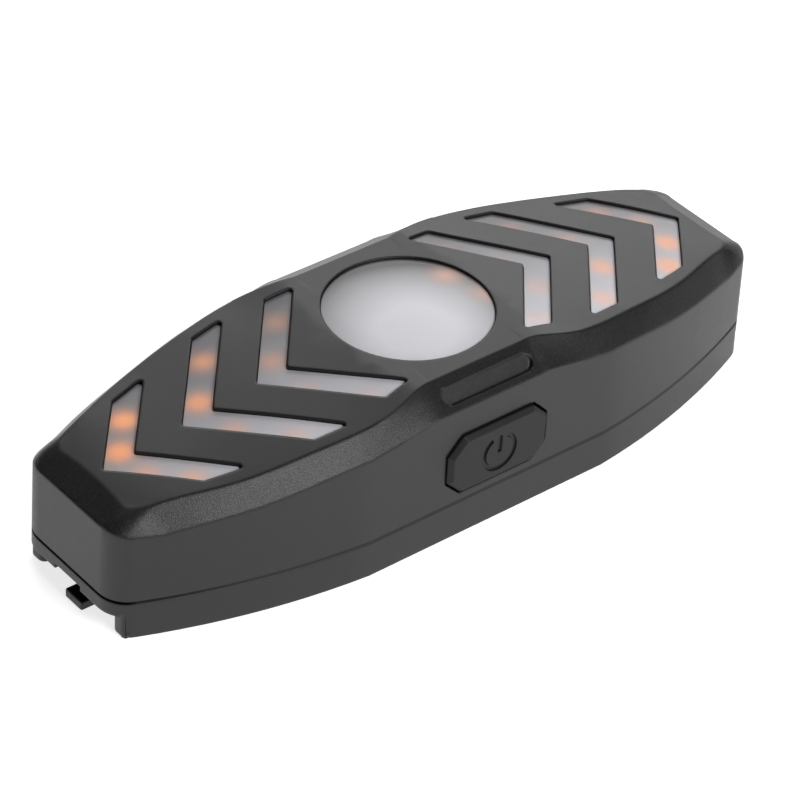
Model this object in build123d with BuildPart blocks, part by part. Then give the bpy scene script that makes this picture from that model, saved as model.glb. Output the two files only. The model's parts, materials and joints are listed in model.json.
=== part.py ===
"""Bicycle turn signal light: a slim boat-shaped rear light with arrow windows on both wings.

Frame: X along the light, Y across it (the power button is on the -Y side), Z out of the lit face.
The feet stand on Z = 0. All sizes are millimetres and degrees.
"""

from build123d import *

import os
from math import cos, radians, sin, sqrt, tan

# Overall form
body_length = 106.0
body_width = 36.5
body_height = 23.0
waist_length = 39.0
end_width = 19.0
side_bow = 1.4
corner_radius = 4.5
wall_draft = 1.3
overrun = 2.0

# Roof of the top cover
plateau_half = 11.3
wing_slope = 7.3
crown_drop = 0.62
wing_chamfer_run = 2.95
wing_chamfer_slope = 49.0
bulge_half = 7.7
bulge_blend = 7.8
bulge_chamfer_run = 4.5
bulge_chamfer_slope = 35.6
end_chamfer_run = 4.15
end_chamfer_slope = 35.4
chamfer_corner_radius = 5.0
wing_station_shares = (0.12, 0.35, 0.6, 0.8)

# Shells
shell_wall = 1.6
roof_thickness = 2.4
parting_height = 5.4
foot_height = 3.4
foot_setback = 1.45
foot_inner_radius = 1.0
foot_width = 10.8
tray_floor = 1.4
tray_wall = 2.2
notch_width = 5.4
notch_depth = 0.7
fit_gap = 0.1

# Chevron windows, counted from the lens outwards
chevron_place_shares = (0.3121, 0.5877, 0.873)
chevron_cut_inset = (4.28, 6.93, 10.57)
chevron_cut_slope = (-0.13, 0.13, 0.24)
chevron_width = 3.6
chevron_half_angle = 49.6
chevron_corner = 0.45
chevron_recess = 0.4
chevron_plate = 1.0
chevron_plate_margin = 0.5
chevron_plate_gap = 0.3

# Centre lens and its reflector
lens_radius_share = 0.309
lens_sink = 0.3
lens_dome = 0.9
lens_wall = 1.5
lens_flange_width = 1.3
lens_flange = 1.0
reflector_wall = 1.0
reflector_inset = 0.3

# Finger scoop in the chamfer above the button
scoop_length = 14.6
scoop_width = 2.2
scoop_depth = 0.5
scoop_share = 0.5

# Power button and its switch
button_length = 16.7
button_top_gap = 3.7
button_low_gap = 1.4
button_cut_share = 0.26
button_x = 0.65
button_proud = 0.7
button_bevel = 0.6
button_gap = 0.2
button_flange_width = 1.1
button_flange = 0.8
button_flange_gap = 0.3
button_stem_radius = 1.5
button_travel = 0.35
touch_gap = 0.05
symbol_share = 0.275
symbol_drop = 0.2
symbol_line = 0.6
symbol_depth = 0.3
symbol_gap = 58.0
switch_width = 6.0
switch_depth = 3.0
switch_height = 3.2
plunger_radius = 1.1
plunger_stick_out = 1.1
plunger_bore_gap = 0.05

# Gasket between the covers
groove_inset = 0.8
groove_width = 0.8
groove_depth = 0.6
gasket_gap = 0.05

# Circuit board and its parts
board_drop = 11.0
board_thickness = 1.0
board_inset = 3.4
board_post_setback = 6.8
board_post_inset = 6.25
board_post_radius = 2.2
led_length = 3.0
led_width = 2.6
led_height = 0.8
led_inner_share = 0.28
led_outer_share = 0.74
centre_led_share = 0.478
control_chip_size = 6.0
control_chip_inset = 23.0
charge_chip_length = 5.0
charge_chip_width = 4.0
charge_chip_inset = 16.5
chip_height = 1.0
receiver_length = 14.0
receiver_width = 10.0
receiver_thickness = 0.8
receiver_inset = 19.0
receiver_chip_size = 4.0
capacitor_length = 2.0
capacitor_width = 1.25
capacitor_height = 0.9
capacitor_pitch = 3.0
capacitor_inset = 23.0
capacitor_y = 6.5

# Battery
battery_end_gap = 8.8
battery_side_gap = 0.3
battery_top_gap = 1.1
battery_corner_share = 0.25
tape_thickness = 0.3
tape_inset = 1.0
lead_radius = 0.6
lead_pitch = 3.0
lead_reach = 4.0
lead_bend = 1.2

# Charging port
socket_width = 7.5
socket_depth = 5.4
socket_height = 2.6
socket_wall = 0.3
socket_corner = 0.6
tongue_width = 3.6
tongue_depth = 3.8
tongue_height = 0.6
port_gap = 0.3
flap_margin = 2.2
flap_thickness = 1.1
flap_corner = 1.2
flap_plug_gap = 0.25
flap_plug_depth = 1.3
flap_seat_gap = 0.05
anchor_length = 2.4
anchor_gap = 0.1
anchor_stem_radius = 0.9

# Screws
screw_radius = 1.0
screw_head_radius = 1.9
screw_head_height = 1.4
screw_hole_gap = 0.15
screw_bite = 0.15
head_recess = 1.8
cover_screw_inset = 19.0
screw_end_gap = 0.8
cover_boss_radius = 2.3
cover_boss_gap = 0.6
cover_boss_inset = 3.1
board_screw_length = 5.0
bracket_screw_inset = 19.0
bracket_screw_end_gap = 0.2
bracket_boss_radius = 2.2
bracket_boss_share = 0.45
drive_radius = 0.8
drive_depth = 0.7

# Mounting bracket in the channel
bracket_end_gap = 4.0
bracket_thickness = 1.4
bracket_gap = 0.3
hook_width = 3.6
hook_y = -1.0
hook_stem = 1.8
hook_reach = 2.0
hook_thickness = 1.4
hook_lift = 0.05
pad_overhang = 3.0
pad_rib = 2.0
pad_rib_count = 11
pad_base = 1.0

# Places that follow from the sizes above
half_length = body_length / 2
half_width = body_width / 2
lens_radius = lens_radius_share * body_width
chevron_apex = [lens_radius + share * (half_length - lens_radius) for share in chevron_place_shares]
chevron_cut = [half_width - inset for inset in chevron_cut_inset]
bulge_low = body_height - bulge_chamfer_run * tan(radians(bulge_chamfer_slope))
button_height = bulge_low - button_top_gap - parting_height - button_low_gap
button_level = parting_height + button_low_gap + button_height / 2
button_cut = button_cut_share * button_height
button_wall_y = half_width - button_level * tan(radians(wall_draft))
symbol_radius = symbol_share * button_height
board_level = body_height - board_drop
board_top = board_level + board_thickness
board_post_x = chevron_apex[0] - board_post_setback
board_post_y = half_width - board_post_inset
channel_width = body_width - 2 * foot_width
channel_roof = foot_height + tray_floor
bracket_length = body_length - 2 * bracket_end_gap
bracket_screw_x = bracket_length / 2 - bracket_screw_inset
bracket_boss_height = bracket_boss_share * (board_level - channel_roof)
bracket_screw_length = bracket_thickness + tray_floor + bracket_boss_height - screw_radius - bracket_screw_end_gap
pad_length = 2 * (bracket_screw_x + pad_overhang)
battery_length = 2 * (bracket_screw_x - bracket_boss_radius - battery_end_gap)
battery_width = 2 * (board_post_y - board_post_radius - battery_side_gap)
battery_height = board_level - battery_top_gap - channel_roof - tape_thickness
cover_screw_x = half_length - cover_screw_inset
cover_boss_height = board_level - parting_height - cover_boss_gap
cover_screw_length = parting_height - head_recess + cover_boss_height - shell_wall / 2 - screw_end_gap
control_chip_x = half_length - control_chip_inset
charge_chip_x = half_length - charge_chip_inset
receiver_x = half_length - receiver_inset
capacitor_x = half_length - capacitor_inset


def side_arc():
    """Centre and radius of the bowed side of the outline, in the plan."""
    x0, y0, x1, y1 = waist_length / 2, half_width, half_length, end_width / 2
    chord = sqrt((x1 - x0) ** 2 + (y1 - y0) ** 2)
    radius = chord ** 2 / (8 * side_bow) + side_bow / 2
    out_x, out_y = (y0 - y1) / chord, (x1 - x0) / chord
    back = radius - side_bow
    return (x0 + x1) / 2 - out_x * back, (y0 + y1) / 2 - out_y * back, radius


def side_y(x):
    """Half width of the outline at a place along the light."""
    if abs(x) <= waist_length / 2:
        return half_width
    centre_x, centre_y, radius = side_arc()
    return centre_y + sqrt(radius ** 2 - (abs(x) - centre_x) ** 2)


def plan_outline(inset=0):
    """Sketch of the outline at the feet, moved inwards by the inset."""
    middle = (waist_length / 2 + half_length) / 2
    with BuildSketch() as outline:
        with BuildLine():
            Line((half_length, 0), (half_length, end_width / 2))
            ThreePointArc((half_length, end_width / 2), (middle, side_y(middle)), (waist_length / 2, half_width))
            Line((waist_length / 2, half_width), (0, half_width))
            mirror(about=Plane.YZ)
            mirror(about=Plane.XZ)
        make_face()
        fillet(outline.vertices().filter_by(lambda v: abs(v.X) > half_length - overrun), radius=corner_radius)
        if inset:
            offset(amount=-inset, kind=Kind.INTERSECTION, mode=Mode.REPLACE)
    return outline.sketch


def feet_outline():
    """Plan of the two feet: the outline without the channel, with rounded ends behind the end walls."""
    with BuildSketch() as feet:
        add(plan_outline())
        Rectangle(body_length - 2 * foot_setback, body_width, mode=Mode.INTERSECT)
        Rectangle(body_length, channel_width, mode=Mode.SUBTRACT)
        ends = feet.vertices().filter_by(lambda v: abs(v.X) > half_length - foot_setback - fit_gap)
        fillet(ends.filter_by(lambda v: abs(v.Y) < channel_width / 2 + fit_gap), radius=foot_inner_radius)
    return feet.sketch


def block(inset, low, high):
    """Drafted solid of the outline between two levels."""
    with BuildPart() as solid:
        add(plan_outline(inset))
        extrude(amount=high, taper=wall_draft)
        if low > 0:
            split(bisect_by=Plane.XY.offset(low), keep=Keep.TOP)
    return solid.part


def roof_level(x):
    """Height of the roof's centre line."""
    return body_height - max(0, abs(x) - plateau_half) * tan(radians(wing_slope))


def roof_section(x, share, sink, thin, crown):
    """Cross-section under the roof and its chamfers; share is 0 on the bulge and 1 on the wing."""
    run = bulge_chamfer_run + share * (wing_chamfer_run - bulge_chamfer_run)
    slope = bulge_chamfer_slope + share * (wing_chamfer_slope - bulge_chamfer_slope)
    edge = side_y(x) - run - thin * tan(radians(slope / 2))
    top = roof_level(x) - sink
    sag = crown * (share + fit_gap / crown_drop) * (edge / half_width) ** 2
    reach = half_width + overrun
    low = top - sag - (reach - edge) * tan(radians(slope))
    with BuildSketch(Plane.YZ.offset(x)) as section:
        with BuildLine():
            ThreePointArc((-edge, top - sag), (0, top), (edge, top - sag))
            Polyline((edge, top - sag), (reach, low), (reach, -body_height), (-reach, -body_height), (-reach, low), (-edge, top - sag))
        make_face()
    return section.sketch


def chamfer_corner(edge):
    """Tells whether an edge is where a side chamfer meets an end chamfer."""
    run = (edge @ 1) - (edge @ 0)
    return min(abs(run.X), abs(run.Y), abs(run.Z)) > fit_gap and abs(edge.center().X) > half_length - end_chamfer_run


def roof_form(sink=0, thin=0, crown=crown_drop):
    """Everything below the roof: flat bulge in the middle, sloped wings, chamfers all round."""
    wing_start = bulge_half + bulge_blend
    wing_end = half_length + overrun
    places = [(bulge_half, 0), (plateau_half, (plateau_half - bulge_half) / bulge_blend), (wing_start, 1)]
    places += [(wing_start + share * (wing_end - wing_start), 1) for share in wing_station_shares]
    places += [(wing_end, 1)]
    with BuildPart() as form:
        add(roof_section(-bulge_half, 0, sink, thin, crown))
        add(roof_section(bulge_half, 0, sink, thin, crown))
        loft(ruled=True)
        with BuildPart(mode=Mode.PRIVATE) as wing:
            for x, share in places:
                add(roof_section(x, share, sink, thin, crown))
            loft()
        add(wing.part)
        add(wing.part.mirror(Plane.YZ))
        end_low = roof_level(half_length - end_chamfer_run) - sink
        edge = half_length - end_chamfer_run - thin * tan(radians(end_chamfer_slope / 2))
        reach = half_length + overrun
        fall = (reach - edge) * tan(radians(end_chamfer_slope))
        with BuildSketch(Plane.XZ):
            with BuildLine():
                Polyline((0, body_height), (edge, body_height), (edge, end_low), (reach, end_low - fall), (reach, -body_height), (0, -body_height))
                mirror(about=Plane.YZ)
            make_face()
        extrude(amount=body_width, both=True, mode=Mode.INTERSECT)
        # the side and end chamfers run into each other in a wide round
        corners = form.edges().filter_by(lambda e: e.center().Z > parting_height and chamfer_corner(e))
        fillet(corners, radius=chamfer_corner_radius)
    return form.part


def chevron_outline(index, side, shrink):
    """One arrow window in the plan, pointing away from the lens."""
    slope = tan(radians(chevron_half_angle))
    apex = chevron_apex[index] - shrink / sin(radians(chevron_half_angle))
    inner = chevron_apex[index] - (chevron_width - shrink) / sin(radians(chevron_half_angle))
    cut, cut_slope = chevron_cut[index], chevron_cut_slope[index]
    level = cut - shrink * sqrt(1 + cut_slope ** 2)

    def end_of(tip):
        run = (level + cut_slope * (chevron_apex[index] - tip)) / (slope - cut_slope)
        return tip - run, run * slope

    outer_end, inner_end = end_of(apex), end_of(inner)
    with BuildSketch() as outline:
        with BuildLine():
            Polyline((side * apex, 0), (side * outer_end[0], outer_end[1]), (side * inner_end[0], inner_end[1]), (side * inner, 0))
            mirror(about=Plane.XZ)
        make_face()
        fillet(outline.vertices(), radius=chevron_corner)
    return outline.sketch


def chevron_point(index, share, offset_side):
    """Place on the middle of an arm of a chevron, from its tip to its cut end."""
    middle = chevron_apex[index] - chevron_width / 2 / sin(radians(chevron_half_angle))
    slope = tan(radians(chevron_half_angle))
    run = chevron_cut[index] / (slope - chevron_cut_slope[index])
    return middle - share * run, offset_side * share * run * slope


def octagon(length, height, cut):
    """Button outline: a rectangle with its four corners cut off."""
    with BuildSketch() as outline:
        with Locations((button_x, button_level)):
            Rectangle(length, height)
        chamfer(outline.vertices(), length=cut)
    return outline.sketch


def screw_solid(length):
    """Pan head screw pointing up, head top face down at its seat, with a cross recess."""
    with BuildPart() as screw:
        Cylinder(screw_head_radius, screw_head_height, align=(Align.CENTER, Align.CENTER, Align.MAX))
        fillet(screw.edges().group_by(Axis.Z)[0], radius=screw_head_height / 3)
        Cylinder(screw_radius, length, align=(Align.CENTER, Align.CENTER, Align.MIN))
        chamfer(screw.edges().group_by(Axis.Z)[-1], length=screw_radius / 3)
        with BuildSketch(Plane.XY.offset(-screw_head_height)):
            Rectangle(2 * drive_radius, drive_radius / 2)
            Rectangle(drive_radius / 2, 2 * drive_radius)
        extrude(amount=drive_depth, mode=Mode.SUBTRACT)
    return screw.part


cover_screw_y = side_y(cover_screw_x) - cover_boss_inset
cover_screw_places = [(i * cover_screw_x, j * cover_screw_y) for i in (-1, 1) for j in (-1, 1)]
board_screw_places = [(i * board_post_x, j * board_post_y) for i in (-1, 1) for j in (-1, 1)]
bracket_screw_places = [(-bracket_screw_x, 0), (bracket_screw_x, 0)]
port_level = board_level - socket_height / 2
port_wall_y = half_width - port_level * tan(radians(wall_draft))
inner_wall_y = port_wall_y - shell_wall

# Top cover
with BuildPart() as top_cover:
    add(block(0, parting_height, body_height + overrun))
    add(roof_form(), mode=Mode.INTERSECT)
    with BuildPart(mode=Mode.PRIVATE) as cavity:
        add(block(shell_wall, 0, body_height))
        add(roof_form(roof_thickness, shell_wall, fit_gap), mode=Mode.INTERSECT)
    add(cavity.part, mode=Mode.SUBTRACT)
    # bosses that the cover screws bite into, grown on the side walls
    with BuildPart(mode=Mode.PRIVATE) as bosses:
        with BuildSketch(Plane.XY.offset(parting_height)):
            with Locations(*cover_screw_places):
                Circle(cover_boss_radius)
        extrude(amount=cover_boss_height)
        add(block(groove_inset, 0, body_height), mode=Mode.INTERSECT)
    add(bosses.part)
    with Locations(*[(x, y, parting_height) for x, y in cover_screw_places]):
        Hole(screw_radius - screw_bite + screw_hole_gap, depth=cover_boss_height - shell_wall / 2)
    # windows
    with BuildSketch(Plane.XY.offset(parting_height)):
        for side in (-1, 1):
            for index in range(len(chevron_apex)):
                add(chevron_outline(index, side, 0))
        Circle(lens_radius)
    extrude(amount=body_height, dir=(0, 0, 1), mode=Mode.SUBTRACT)
    # button hole on the near side, port slot and anchor hole on the far side
    with BuildSketch(Plane.XZ):
        add(octagon(button_length, button_height, button_cut))
    extrude(amount=body_width, dir=(0, -1, 0), mode=Mode.SUBTRACT)
    with BuildSketch(Plane.XZ):
        with Locations((0, port_level)):
            RectangleRounded(socket_width + 2 * port_gap, socket_height + 2 * port_gap, socket_corner + port_gap)
        with Locations((-socket_width / 2 - flap_margin - anchor_gap - anchor_length / 2, port_level)):
            Circle(anchor_stem_radius + fit_gap)
    extrude(amount=body_width, dir=(0, 1, 0), mode=Mode.SUBTRACT)
    # finger scoop along the chamfer above the button
    chamfer_edge = half_width - bulge_chamfer_run
    scoop_y = -chamfer_edge - scoop_share * bulge_chamfer_run
    scoop_z = body_height - scoop_share * bulge_chamfer_run * tan(radians(bulge_chamfer_slope))
    scoop_plane = Plane(origin=(0, scoop_y, scoop_z), x_dir=(1, 0, 0), z_dir=(0, -sin(radians(bulge_chamfer_slope)), cos(radians(bulge_chamfer_slope))))
    with BuildSketch(scoop_plane):
        SlotOverall(scoop_length, scoop_width)
    extrude(amount=-scoop_depth, mode=Mode.SUBTRACT)
top_cover.part.label = "top_cover"

# Rear cover: a tray whose long sides reach down as two feet
with BuildPart() as rear_cover:
    add(block(0, 0, parting_height))
    add(block(tray_wall, tray_floor, parting_height + overrun), mode=Mode.SUBTRACT)
    with BuildPart(mode=Mode.PRIVATE) as inside:
        with BuildSketch(Plane.XY.offset(tray_floor)):
            Rectangle(body_length, channel_width + 2 * shell_wall)
        extrude(amount=channel_roof - tray_floor)
        with BuildSketch(Plane.XY.offset(tray_floor)):
            with Locations(*cover_screw_places):
                Circle(cover_boss_radius)
        extrude(amount=parting_height - tray_floor)
        with BuildSketch(Plane.XY.offset(tray_floor)):
            with Locations(*board_screw_places):
                Circle(board_post_radius)
        extrude(amount=board_level - tray_floor)
        with BuildSketch(Plane.XY.offset(channel_roof)):
            with Locations(*bracket_screw_places):
                Circle(bracket_boss_radius)
        extrude(amount=bracket_boss_height)
        add(block(groove_inset, 0, body_height), mode=Mode.INTERSECT)
    add(inside.part)
    # everything but the two feet is cut away below the channel roof
    with BuildSketch():
        Rectangle(body_length + overrun, body_width + overrun)
        add(feet_outline(), mode=Mode.SUBTRACT)
    extrude(amount=foot_height, mode=Mode.SUBTRACT)
    with BuildSketch(Plane.XY.offset(foot_height)):
        with Locations((-half_length, 0), (half_length, 0)):
            Rectangle(2 * tray_wall, notch_width)
    extrude(amount=notch_depth, mode=Mode.SUBTRACT)
    # gasket groove in the rim
    with BuildSketch(Plane.XY.offset(parting_height)):
        add(plan_outline(groove_inset))
        add(plan_outline(groove_inset + groove_width), mode=Mode.SUBTRACT)
    extrude(amount=-groove_depth, mode=Mode.SUBTRACT)
    # screw holes
    with Locations(*[Location((x, y, 0), (180, 0, 0)) for x, y in cover_screw_places]):
        CounterBoreHole(screw_radius + screw_hole_gap, screw_head_radius + screw_hole_gap, head_recess, depth=parting_height)
    with Locations(*[(x, y, board_level) for x, y in board_screw_places]):
        Hole(screw_radius - screw_bite + screw_hole_gap, depth=board_screw_length)
    with Locations(*[Location((x, y, foot_height), (180, 0, 0)) for x, y in bracket_screw_places]):
        Hole(screw_radius - screw_bite + screw_hole_gap, depth=tray_floor + bracket_boss_height - screw_radius)
rear_cover.part.label = "rear_cover"

# Gasket in the rim groove
with BuildPart() as seal_gasket:
    with BuildSketch(Plane.XY.offset(parting_height)):
        add(plan_outline(groove_inset + gasket_gap))
        add(plan_outline(groove_inset + groove_width - gasket_gap), mode=Mode.SUBTRACT)
    extrude(amount=-groove_depth)
seal_gasket.part.label = "seal_gasket"

# Centre lens: hollow dome on a flange that sits under the roof
lens_rim = body_height - lens_sink
flange_top = roof_level(lens_radius + lens_flange_width) - roof_thickness - chevron_plate_gap
lens_edge = lens_radius - fit_gap
dome_radius = (lens_edge ** 2 + lens_dome ** 2) / (2 * lens_dome)
with BuildPart() as centre_lens:
    with BuildSketch(Plane.XZ):
        with BuildLine():
            Polyline((0, flange_top - lens_flange + lens_wall), (lens_edge - lens_wall, flange_top - lens_flange + lens_wall),
                     (lens_edge - lens_wall, flange_top - lens_flange), (lens_radius + lens_flange_width, flange_top - lens_flange),
                     (lens_radius + lens_flange_width, flange_top), (lens_edge, flange_top), (lens_edge, lens_rim))
            RadiusArc((lens_edge, lens_rim), (0, lens_rim + lens_dome), -dome_radius)
            Line((0, lens_rim + lens_dome), (0, flange_top - lens_flange + lens_wall))
        make_face()
    revolve(axis=Axis.Z)
centre_lens.part.label = "centre_lens"

# Reflector tube from the board to the lens flange
with BuildPart() as centre_reflector:
    with BuildSketch(Plane.XY.offset(board_top)):
        Circle(lens_radius + lens_flange_width - reflector_inset)
        Circle(lens_radius + lens_flange_width - reflector_inset - reflector_wall, mode=Mode.SUBTRACT)
    extrude(amount=flange_top - lens_flange - board_top)
centre_reflector.part.label = "centre_reflector"


def wing_slab(side, high, low):
    """Slab parallel to a wing's roof, between two depths below it."""
    fall = tan(radians(wing_slope))
    near, far = 0, half_length
    rise, drop = body_height + plateau_half * fall, body_height - (half_length - plateau_half) * fall
    with BuildPart() as slab:
        with BuildSketch(Plane.XZ):
            with BuildLine():
                Polyline((near, rise - high), (side * far, drop - high), (side * far, drop - low), (near, rise - low), close=True)
            make_face()
        extrude(amount=half_width, both=True)
    return slab.part


def chevron_lens(side):
    """Frosted plate under a wing with three arrows that rise into the windows."""
    inner_x = plateau_half - chevron_width
    outer_x = chevron_apex[-1] + chevron_plate_margin
    with BuildPart() as lens:
        with BuildSketch():
            with BuildLine():
                Polyline((side * inner_x, 0), (side * inner_x, chevron_cut[0] - chevron_plate_margin),
                         (side * chevron_apex[0], chevron_cut[1] + chevron_plate_margin),
                         (side * outer_x, chevron_cut[2] - chevron_plate_margin), (side * outer_x, 0))
                mirror(about=Plane.XZ)
            make_face()
            Circle(lens_radius + lens_flange_width + fit_gap, mode=Mode.SUBTRACT)
        extrude(amount=body_height - roof_thickness - 2 * fit_gap, dir=(0, 0, 1))
        add(wing_slab(side, roof_thickness + chevron_plate_gap, roof_thickness + chevron_plate_gap + chevron_plate), mode=Mode.INTERSECT)
        with BuildPart(mode=Mode.PRIVATE) as arrows:
            with BuildSketch():
                for index in range(len(chevron_apex)):
                    add(chevron_outline(index, side, fit_gap))
            extrude(amount=body_height, dir=(0, 0, 1))
            add(wing_slab(side, 0, roof_thickness + chevron_plate / 2), mode=Mode.INTERSECT)
            add(roof_form(chevron_recess), mode=Mode.INTERSECT)
        add(arrows.part)
    return lens.part


with BuildPart() as left_chevron_lens:
    add(chevron_lens(-1))
left_chevron_lens.part.label = "left_chevron_lens"

with BuildPart() as right_chevron_lens:
    add(chevron_lens(1))
right_chevron_lens.part.label = "right_chevron_lens"

# Circuit board
with BuildPart() as main_board:
    with BuildSketch(Plane.XY.offset(board_level)):
        add(plan_outline(board_inset))
        with Locations(*board_screw_places):
            Circle(screw_radius + screw_hole_gap, mode=Mode.SUBTRACT)
    extrude(amount=board_thickness)
main_board.part.label = "main_board"


def chevron_leds(side):
    """Four amber LEDs under each chevron, turned along its arms."""
    with BuildPart() as leds:
        for index in range(len(chevron_apex)):
            for arm in (-1, 1):
                for share in (led_inner_share, led_outer_share):
                    x, y = chevron_point(index, share, arm)
                    with BuildSketch(Plane.XY.offset(board_top)):
                        with Locations(Location((side * x, y, 0), (0, 0, -side * arm * chevron_half_angle))):
                            Rectangle(led_length, led_width)
                    extrude(amount=led_height)
    return leds.part


with BuildPart() as amber_leds_left:
    add(chevron_leds(-1))
amber_leds_left.part.label = "amber_leds_left"

with BuildPart() as amber_leds_right:
    add(chevron_leds(1))
amber_leds_right.part.label = "amber_leds_right"

with BuildPart() as centre_leds:
    with BuildSketch(Plane.XY.offset(board_top)):
        with GridLocations(centre_led_share * lens_radius, centre_led_share * lens_radius, 3, 3):
            Rectangle(led_length, led_width)
    extrude(amount=led_height)
centre_leds.part.label = "centre_leds"

# Chips under the board, beside the battery
with BuildPart() as control_chip:
    with BuildSketch(Plane.XY.offset(board_level)):
        with Locations((-control_chip_x, 0)):
            Rectangle(control_chip_size, control_chip_size)
    extrude(amount=-chip_height)
control_chip.part.label = "control_chip"

with BuildPart() as charge_chip:
    with BuildSketch(Plane.XY.offset(board_level)):
        with Locations((-charge_chip_x, 0)):
            Rectangle(charge_chip_width, charge_chip_length)
    extrude(amount=-chip_height)
charge_chip.part.label = "charge_chip"

with BuildPart() as board_capacitors:
    with BuildSketch(Plane.XY.offset(board_level)):
        with Locations((-capacitor_x, capacitor_y)):
            with GridLocations(capacitor_pitch, capacitor_pitch, 4, 1):
                Rectangle(capacitor_width, capacitor_length)
    extrude(amount=-capacitor_height)
board_capacitors.part.label = "board_capacitors"

with BuildPart() as receiver_board:
    with BuildSketch(Plane.XY.offset(board_level)):
        with Locations((receiver_x, 0)):
            Rectangle(receiver_length, receiver_width)
    extrude(amount=-receiver_thickness)
receiver_board.part.label = "receiver_board"

with BuildPart() as receiver_chip:
    with BuildSketch(Plane.XY.offset(board_level - receiver_thickness)):
        with Locations((receiver_x, 0)):
            Rectangle(receiver_chip_size, receiver_chip_size)
    extrude(amount=-chip_height)
receiver_chip.part.label = "receiver_chip"

# Battery on its tape, on the roof of the channel
battery_base = channel_roof + tape_thickness
with BuildPart() as battery_tape:
    with BuildSketch(Plane.XY.offset(channel_roof)):
        Rectangle(battery_length - 2 * tape_inset, battery_width - 2 * tape_inset)
    extrude(amount=tape_thickness)
battery_tape.part.label = "battery_tape"

with BuildPart() as battery:
    with BuildSketch(Plane.XY.offset(battery_base)):
        Rectangle(battery_length, battery_width)
    extrude(amount=battery_height)
    fillet(battery.edges().filter_by(Axis.X), radius=battery_corner_share * battery_height)
battery.part.label = "battery"


def battery_lead(offset_y):
    """Wire from the end of the battery up to the underside of the board."""
    start_x = -battery_length / 2
    end_x = start_x - lead_reach
    level = battery_base + battery_height / 2
    with BuildPart() as lead:
        with BuildLine() as path:
            FilletPolyline((start_x, offset_y, level), (end_x, offset_y, level), (end_x, offset_y, board_level), radius=lead_bend)
        with BuildSketch(Plane(origin=(start_x, offset_y, level), z_dir=(-1, 0, 0))):
            Circle(lead_radius)
        sweep(path=path.wires()[0])
    return lead.part


with BuildPart() as battery_lead_red:
    add(battery_lead(lead_pitch / 2))
battery_lead_red.part.label = "battery_lead_red"

with BuildPart() as battery_lead_black:
    add(battery_lead(-lead_pitch / 2))
battery_lead_black.part.label = "battery_lead_black"

# Charging socket on the board and its rubber flap on the far wall
socket_face_y = inner_wall_y - fit_gap
with BuildPart() as usb_socket:
    with BuildSketch(Plane.XZ.offset(-socket_face_y)):
        with Locations((0, port_level)):
            RectangleRounded(socket_width, socket_height, socket_corner)
            RectangleRounded(socket_width - 2 * socket_wall, socket_height - 2 * socket_wall, socket_corner - socket_wall / 2, mode=Mode.SUBTRACT)
    extrude(amount=socket_depth)
    with BuildSketch(Plane.XZ.offset(socket_depth - socket_face_y)):
        with Locations((0, port_level)):
            RectangleRounded(socket_width, socket_height, socket_corner)
    extrude(amount=-socket_wall)
usb_socket.part.label = "usb_socket"

with BuildPart() as usb_tongue:
    with BuildSketch(Plane.XZ.offset(socket_depth - socket_wall - socket_face_y)):
        with Locations((0, port_level)):
            Rectangle(tongue_width, tongue_height)
    extrude(amount=-tongue_depth)
usb_tongue.part.label = "usb_tongue"

flap_length = socket_width + 2 * flap_margin
flap_height = socket_height + 2 * flap_margin
flap_plane = Plane.XZ.offset(-port_wall_y - flap_height / 2 * tan(radians(wall_draft)) - flap_seat_gap)
with BuildPart() as port_cover:
    with BuildSketch(flap_plane):
        with Locations((0, port_level)):
            RectangleRounded(flap_length, flap_height, flap_corner)
    extrude(amount=-flap_thickness)
    with BuildSketch(flap_plane):
        with Locations((0, port_level)):
            RectangleRounded(socket_width + 2 * (port_gap - flap_plug_gap), socket_height + 2 * (port_gap - flap_plug_gap), socket_corner)
    extrude(amount=flap_plug_depth)
port_cover.part.label = "port_cover"

anchor_x = -flap_length / 2 - anchor_gap - anchor_length / 2
with BuildPart() as port_cover_anchor:
    with BuildSketch(flap_plane):
        with Locations((anchor_x, port_level)):
            Rectangle(anchor_length, flap_height)
    extrude(amount=-flap_thickness)
    with BuildSketch(flap_plane):
        with Locations((anchor_x, port_level)):
            Circle(anchor_stem_radius)
    extrude(amount=shell_wall)
port_cover_anchor.part.label = "port_cover_anchor"

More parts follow.
